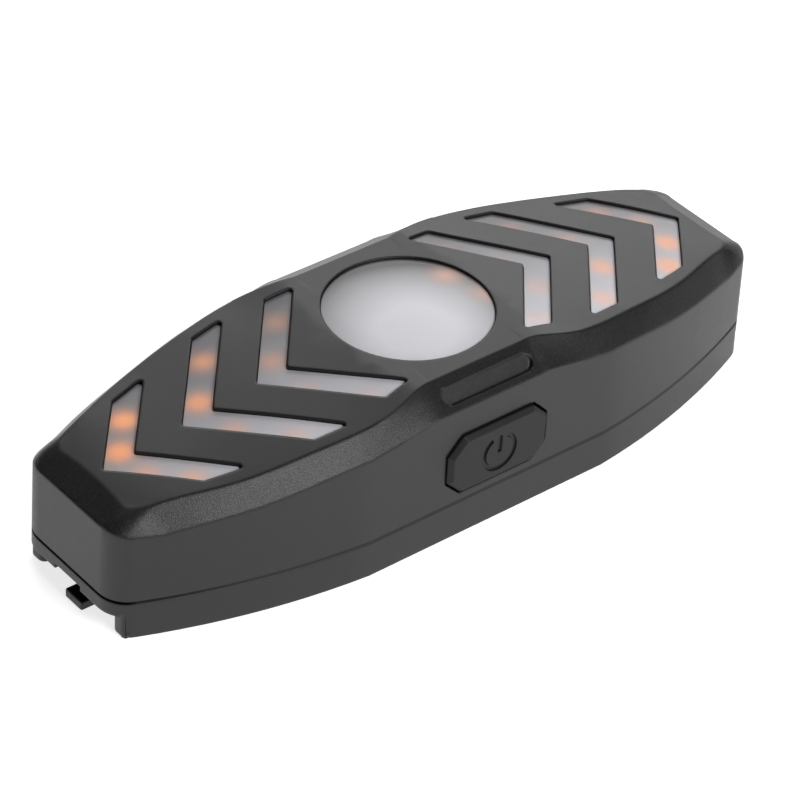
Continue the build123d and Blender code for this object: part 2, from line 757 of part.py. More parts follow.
# Power button: cap through the wall, flange and stem behind it
button_face_y = -button_wall_y - button_proud
button_flange_y = -button_wall_y + shell_wall + button_flange_gap
plunger_tip_y = button_flange_y + button_flange + plunger_radius
switch_face_y = plunger_tip_y + plunger_stick_out
switch_level = board_level - switch_height / 2
with BuildPart() as power_button:
    with BuildSketch(Plane.XZ.offset(-button_flange_y)):
        add(octagon(button_length - 2 * button_gap, button_height - 2 * button_gap, button_cut))
    extrude(amount=button_flange_y - button_face_y)
    chamfer(power_button.faces().sort_by(Axis.Y)[0].edges(), length=button_bevel)
    with BuildSketch(Plane.XZ.offset(-button_flange_y)):
        add(octagon(button_length + 2 * button_flange_width, button_height + 2 * button_flange_width, button_cut))
    extrude(amount=-button_flange)
    with BuildSketch(Plane.XZ.offset(-button_flange_y - button_flange)):
        with Locations((button_x, switch_level)):
            Circle(button_stem_radius)
    extrude(amount=touch_gap - plunger_radius)
    # engraved power symbol: a ring open at the top and a bar in the opening
    with BuildSketch(Plane.XZ.offset(-button_face_y)):
        symbol_level = button_level - symbol_drop
        with Locations((button_x, symbol_level)):
            Circle(symbol_radius + symbol_line / 2)
            Circle(symbol_radius - symbol_line / 2, mode=Mode.SUBTRACT)
        with BuildLine(mode=Mode.PRIVATE) as opening:
            wide = 2 * symbol_radius * tan(radians(symbol_gap / 2))
            opening_top = symbol_level + 2 * symbol_radius
            Polyline((button_x, symbol_level), (button_x - wide, opening_top), (button_x + wide, opening_top), close=True)
        make_face(opening.edges(), mode=Mode.SUBTRACT)
        with Locations((button_x, symbol_level + symbol_radius / 2)):
            Rectangle(symbol_line, symbol_radius)
    extrude(amount=-symbol_depth, mode=Mode.SUBTRACT)
power_button.part.label = "power_button"

with BuildPart() as switch_body:
    with BuildSketch(Plane.XZ.offset(-switch_face_y)):
        with Locations((button_x, switch_level)):
            Rectangle(switch_width, switch_height)
            Circle(plunger_radius + plunger_bore_gap, mode=Mode.SUBTRACT)
    extrude(amount=-switch_depth)
    with BuildSketch(Plane.XZ.offset(-switch_face_y - switch_depth)):
        with Locations((button_x, switch_level)):
            Rectangle(switch_width, switch_height)
    extrude(amount=button_travel)
switch_body.part.label = "switch_body"

with BuildPart() as switch_plunger:
    with BuildSketch(Plane.XZ.offset(-plunger_tip_y)):
        with Locations((button_x, switch_level)):
            Circle(plunger_radius)
    extrude(amount=-(plunger_stick_out + switch_depth / 2))
switch_plunger.part.label = "switch_plunger"

# Bracket with a strap hook at each end, screwed to the roof of the channel
bracket_base = foot_height - bracket_thickness
with BuildPart() as mount_bracket:
    with BuildSketch(Plane.XY.offset(bracket_base)):
        Rectangle(bracket_length - 2 * hook_stem, channel_width - 2 * bracket_gap)
        with Locations((0, hook_y)):
            Rectangle(bracket_length + 2 * hook_stem, hook_width)
        with Locations(*bracket_screw_places):
            Circle(screw_radius + screw_hole_gap, mode=Mode.SUBTRACT)
    extrude(amount=bracket_thickness)
    hook_start = bracket_length / 2
    with BuildSketch(Plane.XY.offset(hook_lift)):
        with Locations((-hook_start - hook_stem / 2, hook_y), (hook_start + hook_stem / 2, hook_y)):
            Rectangle(hook_stem, hook_width)
    extrude(amount=foot_height - hook_lift)
    with BuildSketch(Plane.XY.offset(hook_lift)):
        with Locations((-hook_start - hook_stem - hook_reach / 2, hook_y), (hook_start + hook_stem + hook_reach / 2, hook_y)):
            Rectangle(hook_reach, hook_width)
    extrude(amount=hook_thickness)
mount_bracket.part.label = "mount_bracket"

# Ribbed rubber pad on the bracket, level with the feet
with BuildPart() as mount_pad:
    with BuildSketch(Plane.XY.offset(bracket_base)):
        Rectangle(pad_length, channel_width - 2 * bracket_gap)
        with Locations(*bracket_screw_places):
            Circle(screw_head_radius + screw_hole_gap, mode=Mode.SUBTRACT)
    extrude(amount=-pad_base)
    with BuildSketch(Plane.XY.offset(bracket_base - pad_base)):
        with GridLocations((bracket_screw_x * 2 - 4 * screw_head_radius) / pad_rib_count, 0, pad_rib_count, 1):
            Rectangle(pad_rib, channel_width - 2 * bracket_gap)
    extrude(amount=pad_base - bracket_base)
mount_pad.part.label = "mount_pad"

# Screws: each group of identical ones is one node
with BuildPart() as cover_screws:
    for x, y in cover_screw_places:
        with Locations((x, y, head_recess)):
            add(screw_solid(cover_screw_length))
cover_screws.part.label = "cover_screws"

with BuildPart() as board_screws:
    for x, y in board_screw_places:
        with Locations(Location((x, y, board_top), (180, 0, 0))):
            add(screw_solid(board_screw_length))
board_screws.part.label = "board_screws"

with BuildPart() as bracket_screws:
    for x, y in bracket_screw_places:
        with Locations((x, y, bracket_base)):
            add(screw_solid(bracket_screw_length))
bracket_screws.part.label = "bracket_screws"

os.makedirs("parts", exist_ok=True)
export_step(top_cover.part, "parts/top_cover.step")
export_step(rear_cover.part, "parts/rear_cover.step")
export_step(seal_gasket.part, "parts/seal_gasket.step")
export_step(centre_lens.part, "parts/centre_lens.step")
export_step(centre_reflector.part, "parts/centre_reflector.step")
export_step(left_chevron_lens.part, "parts/left_chevron_lens.step")
export_step(right_chevron_lens.part, "parts/right_chevron_lens.step")
export_step(main_board.part, "parts/main_board.step")
export_step(amber_leds_left.part, "parts/amber_leds_left.step")
export_step(amber_leds_right.part, "parts/amber_leds_right.step")
export_step(centre_leds.part, "parts/centre_leds.step")
export_step(control_chip.part, "parts/control_chip.step")
export_step(charge_chip.part, "parts/charge_chip.step")
export_step(board_capacitors.part, "parts/board_capacitors.step")
export_step(receiver_board.part, "parts/receiver_board.step")
export_step(receiver_chip.part, "parts/receiver_chip.step")
export_step(battery_tape.part, "parts/battery_tape.step")
export_step(battery.part, "parts/battery.step")
export_step(battery_lead_red.part, "parts/battery_lead_red.step")
export_step(battery_lead_black.part, "parts/battery_lead_black.step")
export_step(usb_socket.part, "parts/usb_socket.step")
export_step(usb_tongue.part, "parts/usb_tongue.step")
export_step(port_cover.part, "parts/port_cover.step")
export_step(port_cover_anchor.part, "parts/port_cover_anchor.step")
export_step(power_button.part, "parts/power_button.step")
export_step(switch_body.part, "parts/switch_body.step")
export_step(switch_plunger.part, "parts/switch_plunger.step")
export_step(mount_bracket.part, "parts/mount_bracket.step")
export_step(mount_pad.part, "parts/mount_pad.step")
export_step(cover_screws.part, "parts/cover_screws.step")
export_step(board_screws.part, "parts/board_screws.step")
export_step(bracket_screws.part, "parts/bracket_screws.step")
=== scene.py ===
"""Bicycle turn signal light, dressed for pictures: bevelled shells, frosted arrows with amber points, domed brake lens.

It is laid out as a Blender add-on and runs as a plain script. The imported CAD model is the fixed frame.
"""

import json
import math

import bpy
from mathutils import Matrix, Vector


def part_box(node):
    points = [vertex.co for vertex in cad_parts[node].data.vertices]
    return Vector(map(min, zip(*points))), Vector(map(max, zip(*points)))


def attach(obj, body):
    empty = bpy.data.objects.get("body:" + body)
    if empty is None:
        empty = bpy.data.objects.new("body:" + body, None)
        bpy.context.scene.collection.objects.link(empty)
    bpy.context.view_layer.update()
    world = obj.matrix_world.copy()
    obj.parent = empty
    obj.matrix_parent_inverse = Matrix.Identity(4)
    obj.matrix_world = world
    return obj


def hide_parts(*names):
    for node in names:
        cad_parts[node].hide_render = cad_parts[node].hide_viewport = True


bl_info = {
    "name": "Turn Signal Light Dresser",
    "version": (1, 0, 0),
    "blender": (4, 5, 0),
    "location": "View3D > Sidebar > Light",
    "description": "Builds the visible pieces of a bicycle turn signal light around its CAD frame",
    "category": "Object",
}

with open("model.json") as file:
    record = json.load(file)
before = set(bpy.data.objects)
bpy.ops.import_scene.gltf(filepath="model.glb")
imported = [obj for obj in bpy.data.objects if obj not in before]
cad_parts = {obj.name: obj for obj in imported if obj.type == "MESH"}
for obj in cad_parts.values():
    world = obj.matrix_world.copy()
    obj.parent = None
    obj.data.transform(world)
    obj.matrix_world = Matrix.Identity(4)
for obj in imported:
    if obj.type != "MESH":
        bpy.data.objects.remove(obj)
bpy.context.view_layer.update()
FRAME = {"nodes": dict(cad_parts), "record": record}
MM = 0.001

# How the faces of the covers are told apart, by the height of their normals: walls, chamfers, roof
WALL_HIGH = 0.2
CHAMFER_LOW, CHAMFER_HIGH = 0.45, 0.93

# Beyond this the chamfer is clear of its blend into the bulge
WING_START = 17 * MM

# The finger scoop lies within this half length, nearer than this and above this
SCOOP_HALF, SCOOP_FRONT, SCOOP_LOW = 7.6 * MM, -12 * MM, 19 * MM
SCOOP_FLOOR_DEPTH = 0.4 * MM

# The lower corner of the chamfer lies this near the end, this far out and between these heights
CORNER_NEAR_END, CORNER_OUT, CORNER_HEIGHTS = 2.6 * MM, 7.4 * MM, (14.2 * MM, 15.8 * MM)
CORNER_REACH = 4.5 * MM

FOOT_TOP = 3.4 * MM
FOOT_NEAR_END = 4 * MM

# Where the lens shows warm light, and how strongly
LENS_POINTS = ((Vector((8.4 * MM, 2.6 * MM, 0)), 0.75), (Vector((10.2 * MM, -3.0 * MM, 0)), 0.5))
LENS_GLOW_RADIUS = 1.9 * MM

# Finish of each slot: name, colour, roughness, metallic, size of its clouding in mm
FINISHES = {
    "white_plastic": ("moulded_white_polycarbonate", "E6E6E4", 0.4, 0.0, 3.0),
    "black_plastic": ("moulded_black_nylon", "121213", 0.5, 0.0, 0.4),
    "board_laminate": ("glass_epoxy_white_mask", "D8DCD6", 0.45, 0.0, 2.0),
    "amber_led": ("amber_phosphor", "F6A45A", 0.35, 0.0, 0.6),
    "red_led": ("tinted_epoxy", "D77A66", 0.35, 0.0, 0.6),
    "chip_resin": ("moulded_epoxy_resin", "26262A", 0.55, 0.0, 0.5),
    "capacitor_ceramic": ("fired_ceramic", "B08A5E", 0.4, 0.0, 0.3),
    "foam_tape": ("acrylic_foam_tape", "E9E8E0", 0.9, 0.0, 0.4),
    "battery_pouch": ("laminated_aluminium_pouch", "B8BABE", 0.3, 1.0, 1.5),
    "red_wire": ("red_silicone_insulation", "A81512", 0.45, 0.0, 0.5),
    "black_wire": ("black_silicone_insulation", "161616", 0.45, 0.0, 0.5),
    "socket_steel": ("nickel_plated_steel", "BDBBB6", 0.28, 1.0, 0.5),
    "seal_rubber": ("grey_silicone_seal", "7C7C80", 0.6, 0.0, 0.5),
    "screw_steel": ("zinc_plated_steel", "A9AAB0", 0.34, 1.0, 0.4),
}

# Softboxes: name, place in metres, width, height, power
SOFTBOXES = (
    ("softbox_back", (0.62, 0.66, 0.5), 0.9, 0.6, 4.6),
    ("softbox_front", (0.08, -0.79, 0.6), 0.42, 0.28, 5.2),
    ("softbox_top", (0.1, 0.5, 1.1), 0.5, 0.5, 1.1),
)

# Camera of the photograph, as fitted: place in mm, azimuth, elevation and roll in degrees, lens and sensor in mm
CAMERA_PLACE = (-242.45, -275.97, 288.21)
CAMERA_ANGLES = (-41.2607, 37.3331, -3.7977)
CAMERA_LENS, CAMERA_SENSOR = 159.16, 36.0


class LightSizes(bpy.types.PropertyGroup):
    """Sizes of the finish that a user would change."""

    roof_edge: bpy.props.FloatProperty(
        name="Roof edge", description="Modelled rounding above and below the chamfers",
        default=0.25 * MM, unit="LENGTH")
    soft_edge: bpy.props.FloatProperty(
        name="Soft edge", description="Shaded rounding of all moulded edges",
        default=0.5 * MM, unit="LENGTH")
    scoop_edge: bpy.props.FloatProperty(
        name="Scoop edge", description="Rounding of the finger scoop's rim",
        default=0.35 * MM, unit="LENGTH")
    scoop_tilt: bpy.props.FloatProperty(
        name="Scoop tilt", description="Turn of the scoop's floor towards the button",
        default=math.radians(-18), subtype="ANGLE")
    corner_lift: bpy.props.FloatProperty(
        name="Corner lift", description="How far the chamfer's lower edge rises where it turns the corner",
        default=0.8 * MM, unit="LENGTH")
    foot_corner: bpy.props.FloatProperty(
        name="Foot corner", description="Rounding of the upright corners of the feet",
        default=0.4 * MM, unit="LENGTH")
    foot_edge: bpy.props.FloatProperty(
        name="Foot edge", description="Rounding of the lower edges of the feet",
        default=0.3 * MM, unit="LENGTH")
    rubber_edge: bpy.props.FloatProperty(
        name="Rubber edge", description="Rounding of the flap, its anchor and the pad",
        default=0.25 * MM, unit="LENGTH")
    button_edge: bpy.props.FloatProperty(
        name="Button edge", description="Rounding of the button's edges",
        default=0.12 * MM, unit="LENGTH")
    bracket_edge: bpy.props.FloatProperty(
        name="Bracket edge", description="Rounding of the bracket and its hooks",
        default=0.3 * MM, unit="LENGTH")
    seam_height: bpy.props.FloatProperty(
        name="Seam height", description="Height of the dark gap between the two covers",
        default=0.4 * MM, unit="LENGTH")
    grit: bpy.props.FloatProperty(
        name="Spark grain", description="Grain of the spark-eroded chamfers",
        default=0.16 * MM, unit="LENGTH")
    glow_radius: bpy.props.FloatProperty(
        name="Glow radius", description="Reach of one amber point in the frosted arrow",
        default=1.8 * MM, unit="LENGTH")
    point_shift: bpy.props.FloatVectorProperty(
        name="Point shift", description="How far nearer the amber points show, as they lie below the arrows",
        size=3, default=(-1.0 * MM, -1.2 * MM, 0.0), unit="LENGTH")


class LightColours(bpy.types.PropertyGroup):
    """Colours of the finish, as sRGB hex values."""

    shell: bpy.props.StringProperty(name="Shell", description="Black ABS of both covers", default="1B1B1D")
    rubber: bpy.props.StringProperty(
        name="Rubber", description="Silicone of the button, flap and pad", default="19191B")
    # painted glints on the grains of the chamfers
    spark: bpy.props.StringProperty(name="Spark", description="Lit grains of the rough chamfers", default="353535")
    dust: bpy.props.StringProperty(name="Dust", description="Specks on the silicone", default="959595")
    arrow: bpy.props.StringProperty(name="Arrow", description="Frosted polycarbonate of the arrows", default="B8B8BE")
    lens: bpy.props.StringProperty(name="Lens", description="Opal acrylic of the round lens", default="F2F2F8")
    lens_glow: bpy.props.StringProperty(name="Lens glow", description="Warm light in the round lens", default="F3B9A0")
    amber: bpy.props.StringProperty(name="Amber", description="Glow of the amber points", default="FFA468")
    floor: bpy.props.StringProperty(name="Floor", description="Pale studio floor", default="F7F7F7")


def linear(text):
    """Linear colour of an sRGB hex value."""
    parts = [int(text[i : i + 2], 16) / 255 for i in (0, 2, 4)]
    return [c / 12.92 if c <= 0.04045 else ((c + 0.055) / 1.055) ** 2.4 for c in parts] + [1.0]


def grey(value):
    """Linear grey."""
    return [value, value, value, 1.0]


def scaled(colour, share):
    """Colour with its three parts made brighter or darker."""
    return [c * share for c in colour[:3]] + [1.0]


def per_grain(size):
    """Texture scale on Object coordinates for a grain of this size in metres."""
    return 1 / size


def add_node(material, kind, settings=None, **links):
    """Adds a node, sets its properties, sockets and colour stops, and links its inputs from (node, output) pairs."""
    node = material.node_tree.nodes.new(kind)
    for key, value in (settings or {}).items():
        if key == "stops":
            for _ in value[2:]:
                node.color_ramp.elements.new(0.5)
            for element, (place, colour) in zip(node.color_ramp.elements, value):
                element.position, element.color = place, colour
        elif key == "interpolation":
            node.color_ramp.interpolation = value
        elif isinstance(key, int) or key in node.inputs:
            node.inputs[key].default_value = value
        else:
            setattr(node, key, value)
    for name, source in links.items():
        key = int(name[1:]) if name[0] == "i" and name[1:].isdigit() else name.replace("_", " ")
        link(material, source, node, key)
    return node


def link(material, source, target, socket):
    """Links a (node, output) pair to a socket."""
    material.node_tree.links.new(source[0].outputs[source[1]], target.inputs[socket])


def new_finish(name):
    """Material with its Principled shader, and the node that gives Object coordinates."""
    material = bpy.data.materials.new(name)
    material.use_nodes = True
    shader = material.node_tree.nodes["Principled BSDF"]
    where = add_node(material, "ShaderNodeTexCoord")
    return material, shader, where


def moulded_abs():
    """ABS, injection moulded: satin on the faces, spark-eroded grain on the chamfers between them.

    The eye sees soft grey highlights on the flat faces and dull chamfers, finely speckled with painted glints.
    """
    sizes, colours = bpy.context.scene.light_sizes, bpy.context.scene.light_colours
    # a pixel of the picture covers 0.13 mm and typical spark craters are finer, so the grain is drawn to show
    flow, clouding, spark_depth = 0.9 * MM, 14 * MM, 0.06 * MM
    cloud_share, chamfer_roughness = 1.08, 0.4
    chamfer_bump, face_bump = 0.6, 0.03
    material, shader, where = new_finish("moulded_black_abs")
    shape = add_node(material, "ShaderNodeBevel", {"samples": 8, "Radius": sizes.soft_edge})
    facing = add_node(material, "ShaderNodeSeparateXYZ", None, Vector=(shape, "Normal"))
    # 1 on the chamfers, which slope at 35 to 50 degrees, and 0 on roofs and walls
    slope = add_node(
        material, "ShaderNodeValToRGB",
        {"stops": [(0.3, grey(0)), (0.55, grey(1)), (0.87, grey(1)), (0.96, grey(0))]}, Fac=(facing, "Z"))
    grain = add_node(
        material, "ShaderNodeTexNoise", {"Scale": per_grain(sizes.grit), "Detail": 2.0, "Roughness": 0.6},
        Vector=(where, "Object"))
    fine = add_node(
        material, "ShaderNodeTexNoise", {"Scale": per_grain(flow), "Detail": 3.0}, Vector=(where, "Object"))
    cloud = add_node(
        material, "ShaderNodeTexNoise", {"Scale": per_grain(clouding), "Detail": 2.0}, Vector=(where, "Object"))
    # painted glints: the specks of the spark grain on the chamfers are painted lighter, as if lit
    painted_glint_specks = add_node(
        material, "ShaderNodeValToRGB", {"stops": [(0.48, grey(0)), (0.68, grey(1))]}, Fac=(grain, "Fac"))
    lit = add_node(
        material, "ShaderNodeMath", {"operation": "MULTIPLY"}, i0=(slope, "Color"), i1=(painted_glint_specks, "Color"))
    base = linear(colours.shell)
    tone = add_node(
        material, "ShaderNodeMix", {"data_type": "RGBA", 6: base, 7: scaled(base, cloud_share)},
        Factor=(cloud, "Fac"))
    colour = add_node(
        material, "ShaderNodeMix", {"data_type": "RGBA", 7: linear(colours.spark)},
        Factor=(lit, "Value"), i6=(tone, 2))
    link(material, (colour, 2), shader, "Base Color")
    satin = add_node(
        material, "ShaderNodeValToRGB", {"stops": [(0.3, grey(0.43)), (0.7, grey(0.46))]}, Fac=(fine, "Fac"))
    rough = add_node(
        material, "ShaderNodeMix", {"data_type": "RGBA", 7: grey(chamfer_roughness)},
        Factor=(slope, "Color"), i6=(satin, "Color"))
    link(material, (rough, 2), shader, "Roughness")
    depth = add_node(
        material, "ShaderNodeMath", {"operation": "MULTIPLY_ADD", 1: chamfer_bump, 2: face_bump},
        i0=(slope, "Color"))
    bump = add_node(
        material, "ShaderNodeBump", {"Distance": spark_depth},
        Height=(grain, "Fac"), Strength=(depth, "Value"), Normal=(shape, "Normal"))
    link(material, (bump, "Normal"), shader, "Normal")
    shader.inputs["IOR"].default_value = 1.52
    return material


def seam_shadow():
    """The gap between the two covers, in painted shadow: black at the ends, where it is widest, and faint along the
    sides.
    """
    # the X part of the normal tells the long sides from the ends
    along_sides, at_ends = 0.25, 0.5
    material, shader, _ = new_finish("cover_seam_painted_shadow")
    shape = add_node(material, "ShaderNodeNewGeometry")
    facing = add_node(material, "ShaderNodeSeparateXYZ", None, Vector=(shape, "True Normal"))
    side = add_node(material, "ShaderNodeMath", {"operation": "ABSOLUTE"}, i0=(facing, "X"))
    colour = add_node(
        material, "ShaderNodeValToRGB", {"stops": [(along_sides, linear("161618")), (at_ends, linear("040404"))]},
        Fac=(side, "Value"))
    link(material, (colour, "Color"), shader, "Base Color")
    rough = add_node(
        material, "ShaderNodeValToRGB", {"stops": [(along_sides, grey(0.55)), (at_ends, grey(1.0))]},
        Fac=(side, "Value"))
    link(material, (rough, "Color"), shader, "Roughness")
    shine = add_node(
        material, "ShaderNodeValToRGB", {"stops": [(along_sides, grey(0.36)), (at_ends, grey(0.05))]},
        Fac=(side, "Value"))
    link(material, (shine, "Color"), shader, "Specular IOR Level")
    return material


def moulded_silicone():
    """Silicone rubber, compression moulded: dull, with a faint grain and a few grey specks where dust clings."""
    colours = bpy.context.scene.light_colours
    # the grain of a mould is finer than a pixel, so it is drawn as coarse as it needs to show
    skin_grain, grain_depth, speck_spacing = 0.3 * MM, 0.03 * MM, 1.1 * MM
    material, shader, where = new_finish("moulded_black_silicone")
    base = linear(colours.rubber)
    grain = add_node(
        material, "ShaderNodeTexNoise", {"Scale": per_grain(skin_grain), "Detail": 2.0}, Vector=(where, "Object"))
    dust = add_node(material, "ShaderNodeTexVoronoi", {"Scale": per_grain(speck_spacing)}, Vector=(where, "Object"))
    specks = add_node(
        material, "ShaderNodeValToRGB", {"stops": [(0.0, grey(0.28)), (0.05, grey(0.0))]}, Fac=(dust, "Distance"))
    colour = add_node(
        material, "ShaderNodeMix", {"data_type": "RGBA", 6: base, 7: linear(colours.dust)},
        Factor=(specks, "Color"))
    link(material, (colour, 2), shader, "Base Color")
    bump = add_node(material, "ShaderNodeBump", {"Distance": grain_depth, "Strength": 0.12}, Height=(grain, "Fac"))
    link(material, (bump, "Normal"), shader, "Normal")
    shader.inputs["Roughness"].default_value = 0.52
    shader.inputs["IOR"].default_value = 1.41
    return material


def frosted_arrow():
    """Polycarbonate, frosted: milky grey with painted shade, and soft amber points with a painted glow where the LEDs
    sit below.
    """
    colours = bpy.context.scene.light_colours
    # frost is finer than a pixel, so it is drawn as coarse as it needs to show
    clouding, cloud_share, frost, frost_depth, painted_glow_power = 5 * MM, 0.16, 0.25 * MM, 0.02 * MM, 0.36
    material, shader, where = new_finish("frosted_polycarbonate")
    amber = linear(colours.amber)
    glow = add_node(material, "ShaderNodeAttribute", {"attribute_name": "glow"})
    cloud = add_node(
        material, "ShaderNodeTexNoise", {"Scale": per_grain(clouding), "Detail": 2.0}, Vector=(where, "Object"))
    spot = add_node(material, "ShaderNodeSeparateXYZ", None, Vector=(where, "Object"))
    # painted shade: the plate is darker towards the far side, where the cover's wall shades it, and lighter on the near
    # side, by this much per metre
    level, fall_back = 0.42, -42.0
    across = add_node(
        material, "ShaderNodeMath", {"operation": "MULTIPLY_ADD", 1: fall_back, 2: level}, i0=(spot, "Y"))
    shade = add_node(
        material, "ShaderNodeMath", {"operation": "MULTIPLY_ADD", 1: cloud_share},
        i0=(cloud, "Fac"), i2=(across, "Value"))
    full = linear(colours.arrow)
    shades = [(0.1, scaled(full, 0.36)), (0.5, scaled(full, 0.85)), (0.9, scaled(full, 1.6))]
    milk_with_painted_shade = add_node(
        material, "ShaderNodeValToRGB", {"stops": shades, "interpolation": "B_SPLINE"}, Fac=(shade, "Value"))
    colour = add_node(
        material, "ShaderNodeMix", {"data_type": "RGBA", 7: amber}, Factor=(glow, "Fac"), i6=(milk_with_painted_shade, "Color"))
    link(material, (colour, 2), shader, "Base Color")
    # painted glow: over the amber points the plate gives out amber light of its own
    shader.inputs["Emission Color"].default_value = amber
    strength = add_node(material, "ShaderNodeMath", {"operation": "MULTIPLY", 1: painted_glow_power}, i0=(glow, "Fac"))
    link(material, (strength, "Value"), shader, "Emission Strength")
    grain = add_node(
        material, "ShaderNodeTexNoise", {"Scale": per_grain(frost), "Detail": 1.0}, Vector=(where, "Object"))
    bump = add_node(material, "ShaderNodeBump", {"Distance": frost_depth, "Strength": 0.25}, Height=(grain, "Fac"))
    link(material, (bump, "Normal"), shader, "Normal")
    shader.inputs["Roughness"].default_value = 0.42
    shader.inputs["IOR"].default_value = 1.58
    return material


def opal_lens():
    """Opal acrylic, injection moulded: a satin white dome with painted shade towards its rim and a faint painted glow,
    faintly warm over the LEDs.
    """
    colours = bpy.context.scene.light_colours
    # the satin grain is finer than a pixel, so it is drawn as coarse as it needs to show
    clouding, cloud_share, satin_grain, satin_depth, painted_glow = 7 * MM, 0.08, 0.3 * MM, 0.02 * MM, 0.07
    material, shader, where = new_finish("opal_acrylic")
    spot = add_node(material, "ShaderNodeSeparateXYZ", None, Vector=(where, "Object"))
    cloud = add_node(
        material, "ShaderNodeTexNoise", {"Scale": per_grain(clouding), "Detail": 2.0}, Vector=(where, "Object"))
    # painted shade: the dome is darker to the right and the far side, by this much per metre, and towards its rim, by
    # this much per square metre
    level, fall_right, fall_back, fall_to_rim = 0.92, -21.0, -40.0, -4300.0
    along = add_node(
        material, "ShaderNodeMath", {"operation": "MULTIPLY_ADD", 1: fall_right, 2: level}, i0=(spot, "X"))
    across = add_node(
        material, "ShaderNodeMath", {"operation": "MULTIPLY_ADD", 1: fall_back}, i0=(spot, "Y"), i2=(along, "Value"))
    square_y = add_node(material, "ShaderNodeMath", {"operation": "MULTIPLY"}, i0=(spot, "Y"), i1=(spot, "Y"))
    square = add_node(
        material, "ShaderNodeMath", {"operation": "MULTIPLY_ADD"},
        i0=(spot, "X"), i1=(spot, "X"), i2=(square_y, "Value"))
    rim = add_node(
        material, "ShaderNodeMath", {"operation": "MULTIPLY_ADD", 1: fall_to_rim},
        i0=(square, "Value"), i2=(across, "Value"))
    shade = add_node(
        material, "ShaderNodeMath", {"operation": "MULTIPLY_ADD", 1: cloud_share},
        i0=(cloud, "Fac"), i2=(rim, "Value"))
    full = linear(colours.lens)
    milk_with_painted_shade = add_node(
        material, "ShaderNodeValToRGB", {"stops": [(0.15, scaled(full, 0.08)), (1.0, full)]}, Fac=(shade, "Value"))
    glow = add_node(material, "ShaderNodeAttribute", {"attribute_name": "glow"})
    warm = add_node(
        material, "ShaderNodeMix", {"data_type": "RGBA", 7: linear(colours.lens_glow)},
        Factor=(glow, "Fac"), i6=(milk_with_painted_shade, "Color"))
    link(material, (warm, 2), shader, "Base Color")
    grain = add_node(
        material, "ShaderNodeTexNoise", {"Scale": per_grain(satin_grain), "Detail": 1.0}, Vector=(where, "Object"))
    bump = add_node(material, "ShaderNodeBump", {"Distance": satin_depth, "Strength": 0.12}, Height=(grain, "Fac"))
    link(material, (bump, "Normal"), shader, "Normal")
    # painted glow: the dome gives out faint light in its own colour all over
    link(material, (warm, 2), shader, "Emission Color")
    shader.inputs["Emission Strength"].default_value = painted_glow
    shader.inputs["Roughness"].default_value = 0.4
    shader.inputs["IOR"].default_value = 1.49
    return material


def plain_finish(name, colour, roughness, metallic=0.0, clouding=1.0):
    """Finish of a small inner piece: its colour with slight clouding and a fine bump."""
    spread, bump_depth, ior = 0.12, 0.02 * MM, 1.5
    material, shader, where = new_finish(name)
    base = linear(colour)
    cloud = add_node(
        material, "ShaderNodeTexNoise", {"Scale": per_grain(clouding * MM), "Detail": 3.0}, Vector=(where, "Object"))
    dark, light = scaled(base, 1 - spread), [min(1.0, c) for c in scaled(base, 1 + spread)]
    tone = add_node(material, "ShaderNodeValToRGB", {"stops": [(0.3, dark), (0.7, light)]}, Fac=(cloud, "Fac"))
    link(material, (tone, "Color"), shader, "Base Color")
    bump = add_node(material, "ShaderNodeBump", {"Distance": bump_depth, "Strength": 0.15}, Height=(cloud, "Fac"))
    link(material, (bump, "Normal"), shader, "Normal")
    shader.inputs["Roughness"].default_value = roughness
    shader.inputs["Metallic"].default_value = metallic
    if not metallic:
        shader.inputs["IOR"].default_value = ior
    return material


def only(obj):
    """Makes obj the one selected and active object."""
    bpy.ops.object.select_all(action="DESELECT")
    obj.select_set(True)
    bpy.context.view_layer.objects.active = obj


def copy_of(node, name):
    """Copy of a CAD node as one merged mesh, flats dissolved, ready to be shaped."""
    merge_reach, flat_angle = 0.01 * MM, math.radians(0.7)
    source = FRAME["nodes"][node]
    piece = bpy.data.objects.new(name, source.data.copy())
    piece.data.name = name
    bpy.context.scene.collection.objects.link(piece)
    piece.data.materials.clear()
    only(piece)
    bpy.ops.object.mode_set(mode="EDIT")
    bpy.ops.mesh.customdata_custom_splitnormals_clear()
    bpy.ops.mesh.select_all(action="SELECT")
    bpy.ops.mesh.remove_doubles(threshold=merge_reach)
    bpy.ops.mesh.dissolve_limited(angle_limit=flat_angle, use_dissolve_boundaries=False)
    bpy.ops.mesh.normals_make_consistent(inside=False)
    bpy.ops.object.mode_set(mode="OBJECT")
    return piece


def soften(piece, width, segments=2):
    """Rounds the sharp edges of a piece, if a width is given, and evens its shading."""
    rounded_angle, shaded_angle = math.radians(28.0), math.radians(26.0)
    only(piece)
    if width > 0:
        bpy.ops.object.modifier_add(type="BEVEL")
        rounding = piece.modifiers[-1]
        rounding.limit_method = "ANGLE"
        rounding.angle_limit = rounded_angle
        rounding.width = width
        rounding.segments = segments
        rounding.use_clamp_overlap = False
        rounding.miter_outer = "MITER_ARC"
        bpy.ops.object.modifier_apply(modifier=rounding.name)
    bpy.ops.object.shade_smooth_by_angle(angle=shaded_angle)
    bpy.ops.object.modifier_add(type="WEIGHTED_NORMAL")
    evened = piece.modifiers[-1]
    evened.keep_sharp = True
    bpy.ops.object.modifier_apply(modifier=evened.name)


def cut_into_grid(piece, step):
    """Cuts a piece into an even grid in the plan, so that what is stored at its vertices blends evenly."""
    only(piece)
    low = [min(v.co[i] for v in piece.data.vertices) for i in (0, 1)]
    high = [max(v.co[i] for v in piece.data.vertices) for i in (0, 1)]
    bpy.ops.object.mode_set(mode="EDIT")
    for axis in (0, 1):
        normal = [1 if i == axis else 0 for i in range(3)]
        for turn in range(1, int((high[axis] - low[axis]) / step)):
            place = [low[axis] + turn * step if i == axis else 0 for i in range(3)]
            bpy.ops.mesh.select_all(action="SELECT")
            bpy.ops.mesh.bisect(plane_co=place, plane_no=normal)
    bpy.ops.object.mode_set(mode="OBJECT")


